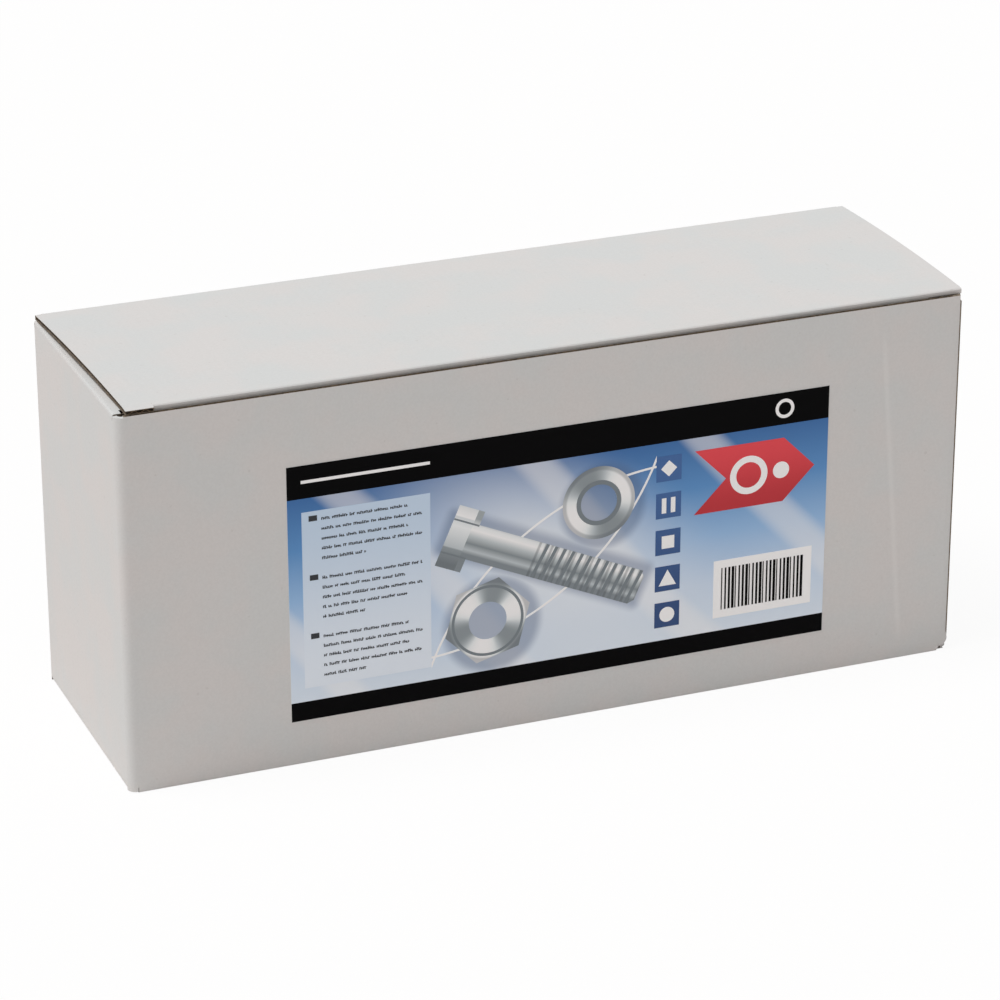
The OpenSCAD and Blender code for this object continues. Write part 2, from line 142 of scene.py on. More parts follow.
# Self-locking base
base_slope = math.radians(16)
base_end_gap = 1 * MM
base_seam = 0.8 * MM
base_inner_l = 58 * MM
base_inner_end = 44 * MM
hook_l = 24 * MM
hook_x = 6 * MM
hook_end_gap = 8 * MM
hook_x1 = half_l - base_inner_l - hook_end_gap
hook_ramp_l = 9 * MM
hook_gap = 0.2 * MM
hook_corner_r = 12 * MM
base_rise = board_t - flap_ro * (1 - math.cos(base_slope))
base_run = flap_ro * math.sin(base_slope) + base_rise / math.tan(base_slope)
base_x = half_l - flap_ro - base_run - base_end_gap
inner_y0 = -fold_y + board_t + slot_w

# Thin-flute corrugated board: two liners with a wavy sheet of paper between them
liner_t = 0.25 * MM
flute_pitch = 3.3 * MM
flute_paper_t = 0.14 * MM
flute_segments = 8
flute_sink = 0.15 * MM
flute_margin = 1 * MM
channel_d = 0.9 * MM
channel_batter = 0.03 * MM

# How finely the folds are drawn. A crispness of 2 is a true arc, and a larger one is nearer a square edge
round_steps = 6
crisp_steps = 8
crispness = 7.0
web_steps = 16
flat_margin = 2 * MM
smooth_below = math.radians(32)
slack = 1e-6
weld_d = 1e-7

# Which of the board's materials a face has, before the sheet gets its thickness and after
ACROSS_X, ACROSS_Y = 0, 1
INNER_STEP = 2
RIM, CHANNEL = 4, 5

# Parts of a blank that are cut to an outline of their own
FRONT_CORNER, GLUE_TAB, PANEL, TUCK, SHOULDER, TONGUE, STRIP, HOOK, RAMP, FLAT = range(1, 11)
SIDE_PARTS = 20

X, Y, Z = 0, 1, 2
UP, DOWN = Vector((0, 0, 1)), Vector((0, 0, -1))
RIGHT, BACK = Vector((1, 0, 0)), Vector((0, 1, 0))


class Blank:
    """A sheet of board that is drawn out from its walls, fold by fold, and then given its thickness."""

    def __init__(self):
        self.bm = bmesh.new()
        self.part = self.bm.faces.layers.int.new("part")

    def start(self, points):
        verts = [self.bm.verts.new(p) for p in points]
        return [self.bm.edges.new(pair) for pair in zip(verts, verts[1:])]

    def grow(self, row, part, across):
        """Extrudes a row of edges on the spot, and gives the new row with its vertices."""
        grown = bmesh.ops.extrude_edge_only(self.bm, edges=row)["geom"]
        verts = [g for g in grown if isinstance(g, bmesh.types.BMVert)]
        edges = [g for g in grown if isinstance(g, bmesh.types.BMEdge)]
        for face in (g for g in grown if isinstance(g, bmesh.types.BMFace)):
            face.material_index = across
            face[self.part] = part
        fresh = set(verts)
        return [e for e in edges if fresh.issuperset(e.verts)], verts

    def push(self, row, step, part=0, across=ACROSS_X):
        row, verts = self.grow(row, part, across)
        bmesh.ops.translate(self.bm, vec=step, verts=verts)
        return row

    def walk(self, row, axis, start, stations, part=0, across=ACROSS_X):
        """Pushes a row on along one axis, from station to station."""
        for place in stations:
            step = Vector()
            step[axis] = place - start
            row = self.push(row, step, part, across)
            start = place
        return row

    def bend(self, row, centre, axis, angle, across=ACROSS_X, crisp=2.0, steps=round_steps,
             before=0.0, whole=None):
        """Rolls a row round a centre. For one stretch of a longer fold, before is the angle that comes
        ahead of it and whole is the angle of the full fold."""
        whole = whole or angle
        turn = Matrix.Rotation(angle / steps, 3, axis)

        def reach(turned):
            share = math.pi / 2 * turned / whole
            return (abs(math.cos(share)) ** crisp + abs(math.sin(share)) ** crisp) ** (-1 / crisp)

        for i in range(steps):
            row, verts = self.grow(row, 0, across)
            bmesh.ops.rotate(self.bm, cent=centre, matrix=turn, verts=verts)
            swell = reach(before + angle * (i + 1) / steps) / reach(before + angle * i / steps)
            factors = [1.0 if name == axis else swell for name in "XYZ"]
            bmesh.ops.scale(self.bm, vec=factors, space=Matrix.Translation(-centre), verts=verts)
        return row

    def is_part(self, edge, part):
        return any(face[self.part] == part for face in edge.link_faces)

    def trim(self, parts, point, normal):
        """Cuts away what lies beyond a plane, on the named parts alone."""
        faces = [f for f in self.bm.faces if f[self.part] in parts]
        own = {v for f in faces for v in f.verts if all(n[self.part] in parts for n in v.link_faces)}
        edges = {e for f in faces for e in f.edges}
        bmesh.ops.bisect_plane(
            self.bm, geom=[*faces, *edges, *own], dist=weld_d,
            plane_co=point, plane_no=normal, clear_outer=True)

    def cut_line(self, parts, start, end, kept, square_to=UP):
        """Cuts along the line through two points, keeps the side of a third and gives the cut's normal."""
        normal = (end - start).cross(square_to).normalized()
        if (kept - start).dot(normal) > 0:
            normal.negate()
        self.trim(parts, start, normal)
        return normal

    def round_off(self, parts, corner, normal_a, normal_b, radius, cuts=6):
        """Rounds the corner between two edges, given by the normals that point out of them."""
        centre = corner - (normal_a + normal_b) * radius / (1 + normal_a.dot(normal_b))
        for i in range(cuts):
            normal = normal_a.slerp(normal_b, (i + 0.5) / cuts)
            self.trim(parts, centre + normal * radius, normal)

    def thicken(self, plain_rim, thickness=board_t):
        """Turns the sheet into board that grows inwards. Its cut edges get an open channel between the
        liners, apart from those for which plain_rim gives a material."""
        bm = self.bm
        bmesh.ops.remove_doubles(bm, verts=bm.verts, dist=weld_d)
        bmesh.ops.recalc_face_normals(bm, faces=bm.faces)
        probe = max(bm.faces, key=lambda f: f.calc_area())
        inside = Vector((0, 0, carton_h / 2))
        if (inside - probe.calc_center_median()).dot(probe.normal) < 0:
            bmesh.ops.reverse_faces(bm, faces=bm.faces)
        outer = set(bm.verts)
        bmesh.ops.solidify(bm, geom=bm.faces[:], thickness=-thickness)
        bm.normal_update()
        open_rim = []
        for face in bm.faces:
            on_outer = sum(v in outer for v in face.verts)
            if on_outer == 0:
                face.material_index += INNER_STEP
            elif on_outer < len(face.verts):
                plain = plain_rim(face)
                face.material_index = RIM if plain is None else plain
                if plain is None:
                    open_rim.append(face)
        bmesh.ops.recalc_face_normals(bm, faces=bm.faces)
        for inset, depth in ((liner_t, 0.0), (channel_batter, -channel_d)):
            bmesh.ops.inset_region(
                bm, faces=open_rim, thickness=inset, depth=depth, use_even_offset=True, use_boundary=True)
        # The channel floors take the dark flute_shadow finish: painted shade standing in for the deep
        # flute holes
        for face in open_rim:
            face.material_index = CHANNEL


def within(row, axis, low, high):
    """The edges of a row that lie between two stations."""
    return [e for e in row if all(low - slack < v.co[axis] < high + slack for v in e.verts)]


def at(row, axis, place):
    """The edges that lie at one station."""
    return within(row, axis, place, place)


def stand(bm, name, materials):
    """Makes an object of a finished mesh."""
    mesh = bpy.data.meshes.new(name)
    bm.to_mesh(mesh)
    bm.free()
    for material in materials:
        mesh.materials.append(material)
    mesh.polygons.foreach_set("use_smooth", [True] * len(mesh.polygons))
    mesh.set_sharp_from_angle(angle=smooth_below)
    piece = bpy.data.objects.new(name, mesh)
    bpy.context.scene.collection.objects.link(piece)
    return piece


def mirrored(stations):
    return [-place for place in reversed(stations)]


def add_walls(blank):
    """The walls, from the front panel's cut edge round to the glue tab, which comes last."""
    z_stations = [flap_ro, flap_ro + flat_margin, tab_lift - tab_slope, cut_crush_z]
    z_stations += [tab_top, dust_cz - flat_margin, dust_cz]
    hook_stations = [hook_x - hook_gap, hook_x, hook_x1, hook_x1 + hook_gap]
    corner_stations = [-fold_x, -fold_x + slot_w, -fold_x + flat_margin]
    front_stations = corner_stations + hook_stations + [base_front_x]
    back_stations = corner_stations + mirrored(hook_stations) + mirrored(corner_stations)
    rear_stations = [dust_y0, dust_y1 - flat_margin, dust_y1, fold_y]
    left_stations = [-fold_y, -fold_y + slot_w, -fold_y + flat_margin] + rear_stations
    right_stations = [joint_y, joint_y + slot_w, inner_y0] + rear_stations
    quarter = -math.pi / 2
    row = blank.start([(cut_x, -half_w, z) for z in z_stations])
    row = blank.push(row, (base_front_x - cut_x, 0, 0), part=FRONT_CORNER)
    row = blank.walk(row, X, base_front_x, front_stations[-2::-1])
    row = blank.bend(row, Vector((-fold_x, -fold_y, 0)), "Z", quarter, across=ACROSS_Y)
    row = blank.walk(row, Y, -fold_y, left_stations[1:], across=ACROSS_Y)
    row = blank.bend(row, Vector((-fold_x, fold_y, 0)), "Z", quarter, across=ACROSS_Y)
    row = blank.walk(row, X, -fold_x, back_stations[1:])
    row = blank.bend(row, Vector((fold_x, fold_y, 0)), "Z", quarter, across=ACROSS_Y)
    row = blank.walk(row, Y, fold_y, right_stations[-2::-1], across=ACROSS_Y)
    row = blank.bend(row, Vector((fold_x, joint_y, 0)), "Z", quarter, across=ACROSS_Y)
    blank.push(within(row, Z, tab_lift - tab_slope, tab_top), (-tab_top_w + wall_ro, 0, 0), part=GLUE_TAB)
    top_corner = Vector((half_l - tab_top_w, tab_y, tab_top - tab_slope))
    foot_corner = Vector((half_l - tab_foot_w, tab_y, tab_lift))
    root = Vector((fold_x, tab_y, carton_h / 2))
    blank.cut_line([GLUE_TAB], Vector((fold_x, tab_y, tab_top)), top_corner, root, BACK)
    blank.cut_line([GLUE_TAB], Vector((fold_x, tab_y, tab_lift - tab_slope)), foot_corner, root, BACK)
    blank.cut_line([GLUE_TAB], top_corner, foot_corner, root, BACK)
    blank.round_off([FRONT_CORNER], Vector((cut_x, -half_w, flap_ro)), RIGHT, DOWN, cut_corner_r)


def add_tops(blank):
    """Raises the long walls and the corners past the dust flaps' folds, up to the fold that carries the
    lid."""
    top = at(blank.bm.edges, Z, dust_cz)
    ends = set(at(top, X, -half_l) + at(top, X, half_l))
    raised = blank.push([e for e in top if e not in ends], (0, 0, corner_top - dust_cz))
    long_walls = set(at(raised, Y, -half_w) + at(raised, Y, half_w))
    for edge in set(raised) - long_walls:
        for face in edge.link_faces:
            face.material_index = ACROSS_Y
    blank.push(at(raised, Y, -half_w), (0, 0, front_top - corner_top))
    back = blank.push(within(at(raised, Y, half_w), X, -fold_x, fold_x), (0, 0, hinge_cz - corner_top))
    blank.bend(back, Vector((0, hinge_cy, hinge_cz)), "X", hinge_a - hinge_play)


def add_dust_flap(blank, side, lip_y):
    """A dust flap: a narrow lip and a shoulder at its fold, a step, and a tapered tongue with round
    corners."""
    fold_cx = side * (half_l - flap_ro)
    shoulder, tongue = SHOULDER + side * SIDE_PARTS, TONGUE + side * SIDE_PARTS
    step_x, step_y = dust_shoulder_l + dust_step, dust_y0 + dust_step
    end_x = dust_l - flap_ro

    def spot(x, y):
        return Vector((fold_cx - side * x, y, wall_top))

    root = within(at(at(blank.bm.edges, Z, dust_cz), X, side * half_l), Y, lip_y, dust_y1)
    row = blank.bend(root, Vector((fold_cx, 0, dust_cz)), "Y", -side * math.pi / 2,
                     across=ACROSS_Y, crisp=crispness, steps=crisp_steps)
    row = blank.push(row, (-side * dust_lip, 0, 0), part=shoulder, across=ACROSS_Y)
    row = within(row, Y, dust_y0, dust_y1)
    blank.push(row, (-side * (step_x - dust_lip), 0, 0), part=shoulder, across=ACROSS_Y)
    blank.cut_line([shoulder], spot(dust_shoulder_l, dust_y0), spot(step_x, step_y), spot(0, 0))
    row = [e for e in at(blank.bm.edges, X, fold_cx - side * step_x) if blank.is_part(e, shoulder)]
    blank.push(row, (-side * (end_x - step_x), 0, 0), part=tongue, across=ACROSS_Y)
    front_end, back_end = spot(end_x, step_y + dust_taper), spot(end_x, dust_y1 - dust_taper)
    front_normal = blank.cut_line([tongue], spot(step_x, step_y), front_end, spot(0, 0))
    back_normal = blank.cut_line([shoulder, tongue], spot(dust_step, dust_y1), back_end, spot(0, 0))
    blank.round_off([tongue], front_end, front_normal, -side * RIGHT, dust_corner_r)
    blank.round_off([tongue], back_end, -side * RIGHT, back_normal, dust_corner_r)


def add_base_outer(blank, turn, x0, x1):
    """An outer base flap with its lock hook. Turn is 1 at the front and -1 at the back."""
    fold_cy = -half_w + flap_ro
    strip, hook = STRIP + turn * SIDE_PARTS, HOOK + turn * SIDE_PARTS
    seam_y = -base_seam / 2
    ramp_y = seam_y - hook_ramp_l
    lift = board_t + hook_gap

    def spot(x, y, z=0.0):
        return Vector((turn * x, turn * y, z))

    low, high = sorted((turn * x0, turn * x1))
    root = within(at(at(blank.bm.edges, Z, flap_ro), Y, -turn * half_w), X, low, high)
    row = blank.bend(root, spot(0, fold_cy, flap_ro), "X", turn * math.pi / 2,
                     crisp=crispness, steps=crisp_steps)
    y = fold_cy
    for depth in sorted({x1 - base_x, -x0 - base_x}):
        blank.push(row, spot(0, fold_cy + depth - y), part=strip)
        y = fold_cy + depth
        if depth <= x1 - base_x + slack:
            blank.cut_line([strip], spot(x1, fold_cy), spot(x1 - depth, y), spot(0, fold_cy))
        blank.cut_line([strip], spot(x0, fold_cy), spot(x0 + depth, y), spot(0, fold_cy))
        row = [e for e in at(blank.bm.edges, Y, turn * y) if blank.is_part(e, strip)]
    row = blank.push(row, spot(0, ramp_y - y))
    hook_low, hook_high = sorted((turn * hook_x, turn * hook_x1))
    beside = within(row, X, hook_low - hook_gap, hook_high + hook_gap)
    blank.push([e for e in row if e not in beside], spot(0, seam_y - ramp_y))
    row = blank.push(within(row, X, hook_low, hook_high), spot(0, seam_y - ramp_y, lift), part=hook)
    blank.push(row, spot(0, hook_l - seam_y), part=hook)
    for x, out in ((hook_x, -1), (hook_x1, 1)):
        blank.round_off([hook], spot(x, hook_l, lift), spot(out, 0), spot(0, 1), hook_corner_r)


def add_base_inner(blank, side, y0, y1):
    """An inner base flap, which climbs from its fold onto the outer flaps."""
    fold_cx = side * (half_l - flap_ro)
    ramp, flat = RAMP + side * SIDE_PARTS, FLAT + side * SIDE_PARTS
    run = base_run + base_end_gap
    length = base_inner_l - flap_ro
    climb_x = base_run - flap_ro * math.sin(base_slope)

    def spot(x, y):
        return Vector((fold_cx - side * x, y, board_t))

    root = within(at(at(blank.bm.edges, Z, flap_ro), X, side * half_l), Y, y0, y1)
    turned = side * (math.pi / 2 + base_slope)
    row = blank.bend(root, Vector((fold_cx, 0, flap_ro)), "Y", turned, across=ACROSS_Y)
    climb = (-side * climb_x, 0, climb_x * math.tan(base_slope))
    row = blank.push(row, climb, part=ramp, across=ACROSS_Y)
    blank.push(row, (-side * base_end_gap, 0, 0), part=ramp, across=ACROSS_Y)
    blank.cut_line([ramp], spot(0, y0), spot(run, y0 + run), spot(0, 0))
    blank.cut_line([ramp], spot(0, y1), spot(run, y1 - run), spot(0, 0))
    row = [e for e in at(blank.bm.edges, X, fold_cx - side * run) if blank.is_part(e, ramp)]
    blank.push(row, (-side * (length - run), 0, 0), part=flat, across=ACROSS_Y)
    blank.cut_line([flat], spot(length / 2, y0 + run), spot(length, -base_inner_end / 2), spot(0, 0))
    blank.cut_line([flat], spot(length - run, y1 - run), spot(length, base_inner_end / 2), spot(0, 0))


def add_base(blank):
    """Ends the upright folds just above the floor, and draws out the base flaps."""
    foot = at(blank.bm.edges, Z, flap_ro)
    corners = [e for e in foot if all(abs(v.co.x) > fold_x - slack for v in e.verts)
               and e not in at(foot, X, half_l) + at(foot, X, -half_l)]
    blank.push(corners, (0, 0, slot_end - flap_ro), across=ACROSS_Y)
    add_base_outer(blank, 1, -fold_x + slot_w, base_front_x)
    add_base_outer(blank, -1, -fold_x + slot_w, fold_x - slot_w)
    add_base_inner(blank, -1, -fold_y + slot_w, fold_y - slot_w)
    add_base_inner(blank, 1, inner_y0, fold_y - slot_w)


def on_hinge(face):
    """Whether a cut face is one of the two that meet at the line the lid turns on."""
    middle = face.calc_center_median()
    return abs(middle.x) < fold_x and math.hypot(middle.y - hinge.y, middle.z - hinge.z) < board_t


def carton_plain_rim(face):
    """The material of a cut edge of the carton that has no open channel. The slots beside the corner posts
    are crushed shut by their folds, and the liner covers the ends of the posts."""
    middle = face.calc_center_median()
    at_post = abs(middle.x) > fold_x - board_t and abs(middle.y) > fold_y - wall_ro
    if at_post and min(abs(middle.z - corner_top), abs(middle.z - slot_end)) < slot_w:
        return ACROSS_Y
    if on_hinge(face):
        return ACROSS_X + INNER_STEP
    in_slot = at_post and not flap_ro + cut_corner_r < middle.z < dust_cz
    return RIM if in_slot else None


def lid_plain_rim(face):
    """The same for the lid, whose short edges beside the back fold, in the front fold's left slit and on
    its ear are crushed shut."""
    if on_hinge(face):
        return ACROSS_X + INNER_STEP
    middle = face.calc_center_median()
    if middle.y > hinge_cy - liner_t:
        return RIM
    in_slit = abs(middle.x + slit_x) < liner_t
    on_ear = middle.x > slit_x - liner_t and middle.y < front_cy
    return RIM if middle.z > tuck_top and (in_slit or on_ear) else None


def build_carton(materials):
    blank = Blank()
    add_walls(blank)
    add_tops(blank)
    add_dust_flap(blank, -1, -fold_y + slot_w)
    add_dust_flap(blank, 1, joint_y + slot_w)
    add_base(blank)
    blank.thicken(carton_plain_rim)
    for vert in blank.bm.verts:
        x, y, z = vert.co
        if x > base_front_x + slack and abs(y + half_w) < slack and z > cut_crush_z - slack:
            vert.co.x -= cut_crush
        elif abs(x - base_front_x) < slack and y < -fold_y and z < flap_ro - slack:
            vert.co.x -= fold_end_slant * (1 - z / flap_ro)
    carton = stand(blank.bm, "carton_board", materials)
    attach(carton, "carton")
    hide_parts("carton")


def crown_z(y):
    """Height of the lid's outer face at a place from front to back. It runs into the folds at both
    sides."""
    lid_half_w = (hinge_cy - front_cy) / 2
    radius = (lid_half_w ** 2 + lid_crown ** 2) / (2 * lid_crown)
    offset = y - (hinge_cy + front_cy) / 2
    rise = math.sqrt(radius ** 2 - offset ** 2) - radius + lid_crown
    return carton_h + rise - crease_step * (1 - (offset / lid_half_w) ** 2)


def add_lid_panel(blank):
    """The bowed panel with its half of the back fold. Gives the row along the front."""
    half = [slit_x - flat_margin, slit_x, fold_x, lid_half_l]
    row = blank.start([(x, hinge_cy, crown_z(hinge_cy)) for x in mirrored(half) + half])
    blank.bend(within(row, X, -fold_x, fold_x), Vector((0, hinge_cy, hinge_cz)), "X", hinge_play - hinge_a)
    step_y = (front_cy - hinge_cy) / lid_rows
    for i in range(lid_rows):
        y = hinge_cy + i * step_y
        row = blank.push(row, (0, step_y, crown_z(y + step_y) - crown_z(y)), part=PANEL)
    return row


def add_tuck_flap(blank, row):
    """The front fold, which ends in a short ear at the right, and the flap that tucks in behind the front
    panel."""
    centre = Vector((0, front_cy, hinge_cz))
    down = Vector((0, math.sin(tuck_lean), -math.cos(tuck_lean)))
    quarter = math.pi / 2
    whole = quarter + tuck_lean
    row = blank.bend(within(row, X, -slit_x, lid_half_l), centre, "X", quarter,
                     crisp=crispness, steps=crisp_steps, whole=whole)
    row = blank.bend(within(row, X, -slit_x, slit_x), centre, "X", tuck_lean,
                     crisp=crispness, steps=2, before=quarter, whole=whole)
    neck = (hinge_cz - flap_ro * math.sin(tuck_lean) - tuck_top) / math.cos(tuck_lean)
    row = blank.push(row, down * neck)
    row = blank.push(row, down * flat_margin, part=TUCK)
    row = blank.push(row, down * (tuck_l - neck - flat_margin), part=TUCK)
    foot = row[0].verts[0].co.copy()
    for side in (-1, 1):
        edge = [e for e in at(blank.bm.edges, X, side * slit_x)
                if blank.is_part(e, TUCK) and all(v.co.z < tuck_top + slack for v in e.verts)]
        blank.push(edge, (side * (tuck_half_l - slit_x), 0, 0), part=TUCK)
        corner = Vector((side * tuck_half_l, foot.y, foot.z))
        blank.round_off([TUCK], corner, side * RIGHT, down, tuck_corner_r, cuts=9)


def build_lid(materials):
    blank = Blank()
    row = add_lid_panel(blank)
    strip = within(row, X, -lid_half_l, -slit_x)
    blank.push(strip, (0, strip_end_y - front_cy, -strip_sag), part=PANEL)
    add_tuck_flap(blank, row)
    draws_in = Vector((strip_end_y - hinge_cy, -lid_taper, 0)).normalized()
    blank.trim([PANEL], Vector((-lid_half_l, hinge_cy, 0)), draws_in)
    blank.thicken(lid_plain_rim)
    lid = stand(blank.bm, "lid_board", materials)
    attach(lid, "lid")
    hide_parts("lid")


def build_fold_web(materials):
    """The outer liner across the middle of the back fold, spanning the small gap between its two halves.
    """
    blank = Blank()
    out = Vector((0, math.cos(hinge_a), math.sin(hinge_a)))
    along = Vector((0, -out.z, out.y))
    width = 2 * flap_ro * math.sin(hinge_play)
    start, end = hinge - along * width / 2, hinge + along * width / 2
    row = blank.start([start - fold_x * RIGHT, start + fold_x * RIGHT])
    for _ in range(web_steps):
        row = blank.push(row, along * width / web_steps)
    blank.thicken(lambda face: RIM, liner_t)
    web = stand(blank.bm, "fold_web", materials)
    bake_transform(web)


def add_flute_row(bm, start, end, out, inward):
    """A strip of the wavy paper that shows between the liners along one cut edge."""
    run = end - start
    steps = max(2, round(run.length / flute_pitch)) * flute_segments
    height = (board_t - 2 * liner_t - flute_paper_t) / 2
    verts = []
    for i in range(steps + 1):
        wave = height * math.cos(math.tau * i / flute_segments)
        depth = inward * (board_t / 2 + wave)
        verts.append(bm.verts.new(start + run * i / steps + depth - out * flute_sink))
    edges = [bm.edges.new(pair) for pair in zip(verts, verts[1:])]
    grown = bmesh.ops.extrude_edge_only(bm, edges=edges)["geom"]
    deep = [g for g in grown if isinstance(g, bmesh.types.BMVert)]
    bmesh.ops.translate(bm, vec=-out * (channel_d - flute_sink), verts=deep)


def carton_flute_rows():
    """Where the carton's cut edges cross the flutes: start, end, the way out of the edge and the way in
    from the outer face."""
    front_end = Vector((cut_x - flute_margin, -half_w, front_top))
    rows = [(Vector((-fold_x, -half_w, front_top)), front_end, UP, BACK)]
    round_l = dust_corner_r + dust_taper
    for side in (-1, 1):
        dust_x = side * (half_l - dust_l)
        rows.append((Vector((dust_x, dust_y0 + dust_step + round_l, wall_top)),
                     Vector((dust_x, dust_y1 - round_l, wall_top)), -side * RIGHT, DOWN))
        inner_x = side * (half_l - base_inner_l)
        end_y = base_inner_end / 2 - liner_t
        rows.append((Vector((inner_x, -end_y, board_t)),
                     Vector((inner_x, end_y, board_t)), -side * RIGHT, UP))
        seam_y = -side * base_seam / 2
        hook_low, hook_high = sorted((side * hook_x, side * hook_x1))
        seam_spans = ((-base_x + flute_margin, hook_low - flute_margin),
                      (hook_high + flute_margin, base_x - flute_margin))
        rows += [(Vector((a, seam_y, 0)), Vector((b, seam_y, 0)), side * BACK, UP) for a, b in seam_spans]
        hook_end = Vector((0, side * hook_l, board_t + hook_gap))
        rows.append((hook_end + (hook_low + hook_corner_r) * RIGHT,
                     hook_end + (hook_high - hook_corner_r) * RIGHT, side * BACK, UP))
    return rows


def lid_flute_rows():
    down = Vector((0, math.sin(tuck_lean), -math.cos(tuck_lean)))
    inward = Vector((0, math.cos(tuck_lean), math.sin(tuck_lean)))
    foot = Vector((0, front_cy, hinge_cz)) - inward * flap_ro + down * tuck_l
    reach = (tuck_half_l - tuck_corner_r) * RIGHT
    strip = Vector((0, strip_end_y, crown_z(front_cy) - strip_sag))
    strip_x = -lid_half_l + lid_taper + flute_margin
    return [
        (foot - reach, foot + reach, down, inward),
        (strip + strip_x * RIGHT, strip - (slit_x + flute_margin) * RIGHT, -BACK, DOWN),
    ]


def build_flutes(name, body, rows, paper):
    bm = bmesh.new()
    for row in rows:
        add_flute_row(bm, *row)
    bmesh.ops.recalc_face_normals(bm, faces=bm.faces)
    bmesh.ops.solidify(bm, geom=bm.faces[:], thickness=flute_paper_t)
    bmesh.ops.recalc_face_normals(bm, faces=bm.faces)
    flutes = stand(bm, name, [paper])
    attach(flutes, body)


def islands(node):
    """The box of each separate solid in a printed node."""
    item = frame["nodes"][node]
    bm = bmesh.new()
    bm.from_mesh(item.data)
    bm.transform(item.matrix_world)
    bmesh.ops.remove_doubles(bm, verts=bm.verts, dist=slack)
    left = set(bm.verts)
    boxes = []
    while left:
        group, edge_of_group = set(), {next(iter(left))}
        while edge_of_group:
            group |= edge_of_group
            edge_of_group = {e.other_vert(v) for v in edge_of_group for e in v.link_edges} - group
        left -= group
        low = Vector([min(v.co[i] for v in group) for i in (X, Y, Z)])
        high = Vector([max(v.co[i] for v in group) for i in (X, Y, Z)])
        boxes.append((low, high))
    bm.free()
    return sorted(boxes, key=lambda box: (box[0] + box[1])[:])


def add_plate(bm, low, high):
    size = (high - low).to_4d()
    bmesh.ops.create_cube(bm, size=1, matrix=Matrix.Translation((low + high) / 2) @ Matrix.Diagonal(size))


# Small print: word-like rows of ticks in each line of the label, which spell nothing. The tick heights and
# the places of the cross strokes are shares of a line's height, and a mark shorter than flag_share line
# heights is no line of print
small_print_seed = 7
tick_w = 0.34 * MM
tick_pitch = 0.62 * MM
tick_heights = (0.7, 0.7, 0.7, 1.0)
shortest_word = 2
longest_word = 9
word_gap = 0.7 * MM
cross_h = 0.24 * MM
cross_places = (0, 0.35, 0.7)
cross_sink = 0.3
flag_share = 3


def build_small_print(ink):
    draw = random.Random(small_print_seed)
    bm = bmesh.new()
    for low, high in islands("label_text"):
        line_h = high.z - low.z
        if high.x - low.x < flag_share * line_h:
            add_plate(bm, low, high)
            continue
        x = low.x
        while x < high.x - tick_pitch:
            for _ in range(draw.randint(shortest_word, longest_word)):
                tick_h = line_h * draw.choice(tick_heights)
                tick_end = Vector((x + tick_w, high.y, low.z + tick_h))
                add_plate(bm, Vector((x, low.y, low.z)), tick_end)
                cross_z = low.z + draw.choice(cross_places) * line_h - cross_h * cross_sink
                cross_z = max(cross_z, low.z)
                cross_end = Vector((x + tick_pitch, high.y, cross_z + cross_h))
                add_plate(bm, Vector((x, low.y, cross_z)), cross_end)
                x += tick_pitch
                if x > high.x - tick_pitch:
                    break
            x += word_gap
    print_marks = stand(bm, "print_small_text", [ink])
    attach(print_marks, "carton")
    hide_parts("label_text")


def linear(hex_colour):
    """sRGB hex to the linear colour that a shader takes."""
    channels = [int(hex_colour[i:i + 2], 16) / 255 for i in (1, 3, 5)]
    return [c / 12.92 if c <= 0.04045 else ((c + 0.055) / 1.055) ** 2.4 for c in channels] + [1.0]


def add(tree, kind, inputs=None, **settings):
    """Adds a node with its settings, and links or values for its inputs."""
    made = tree.nodes.new(kind)
    for name, value in settings.items():
        setattr(made, name, value)
    for socket, value in (inputs or {}).items():
        if isinstance(value, bpy.types.NodeSocket):
            tree.links.new(value, made.inputs[socket])
        elif isinstance(value, str):
            made.inputs[socket].default_value = linear(value)
        else:
            made.inputs[socket].default_value = value
    return made


def calc(tree, operation, *values):
    """One step of arithmetic on sockets and numbers."""
    return add(tree, "ShaderNodeMath", dict(enumerate(values)), operation=operation).outputs[0]


def vector_calc(tree, operation, *values):
    """One step of arithmetic on vectors."""
    return add(tree, "ShaderNodeVectorMath", dict(enumerate(values)), operation=operation).outputs


def split(tree, place):
    return add(tree, "ShaderNodeSeparateXYZ", {0: place}).outputs


def past(tree, value, limit):
    """How far a value lies beyond a limit to either side of 0."""
    return calc(tree, "SUBTRACT", calc(tree, "ABSOLUTE", value), limit)


def hypot(tree, a, b):
    """Length of a step of a along and b across."""
    squares = [calc(tree, "MULTIPLY", value, value) for value in (a, b)]
    return calc(tree, "SQRT", calc(tree, "ADD", *squares))


def remap(tree, value, start, end, first=0.0, last=1.0, kind="LINEAR"):
    """Takes a value from one range to another, and holds it past the ends."""
    ranges = {"Value": value, "From Min": start, "From Max": end, "To Min": first, "To Max": last}
    return add(tree, "ShaderNodeMapRange", ranges, interpolation_type=kind).outputs[0]


def fade(tree, value, start, end, first=0.0, last=1.0):
    """Remaps a value smoothly."""
    return remap(tree, value, start, end, first, last, "SMOOTHSTEP")


def mix(tree, factor, a, b):
    """Mixes two colours, each of them a socket or a hex."""
    inputs = {0: factor, 6: a, 7: b}
    return add(tree, "ShaderNodeMix", inputs, data_type="RGBA").outputs[2]


def ramp(tree, factor, stops):
    """A run of colours along a factor, from (place, colour) stops."""
    made = add(tree, "ShaderNodeValToRGB", {"Fac": factor})
    band = made.color_ramp
    for element, (place, colour) in zip((band.elements[0], band.elements[1]), (stops[0], stops[-1])):
        element.position = place
        element.color = linear(colour)
    for place, colour in stops[1:-1]:
        band.elements.new(place).color = linear(colour)
    return made.outputs["Color"]


def noise(tree, place, size, detail):
    inputs = {"Vector": place, "Scale": 1 / size, "Detail": detail}
    return add(tree, "ShaderNodeTexNoise", inputs).outputs["Fac"]


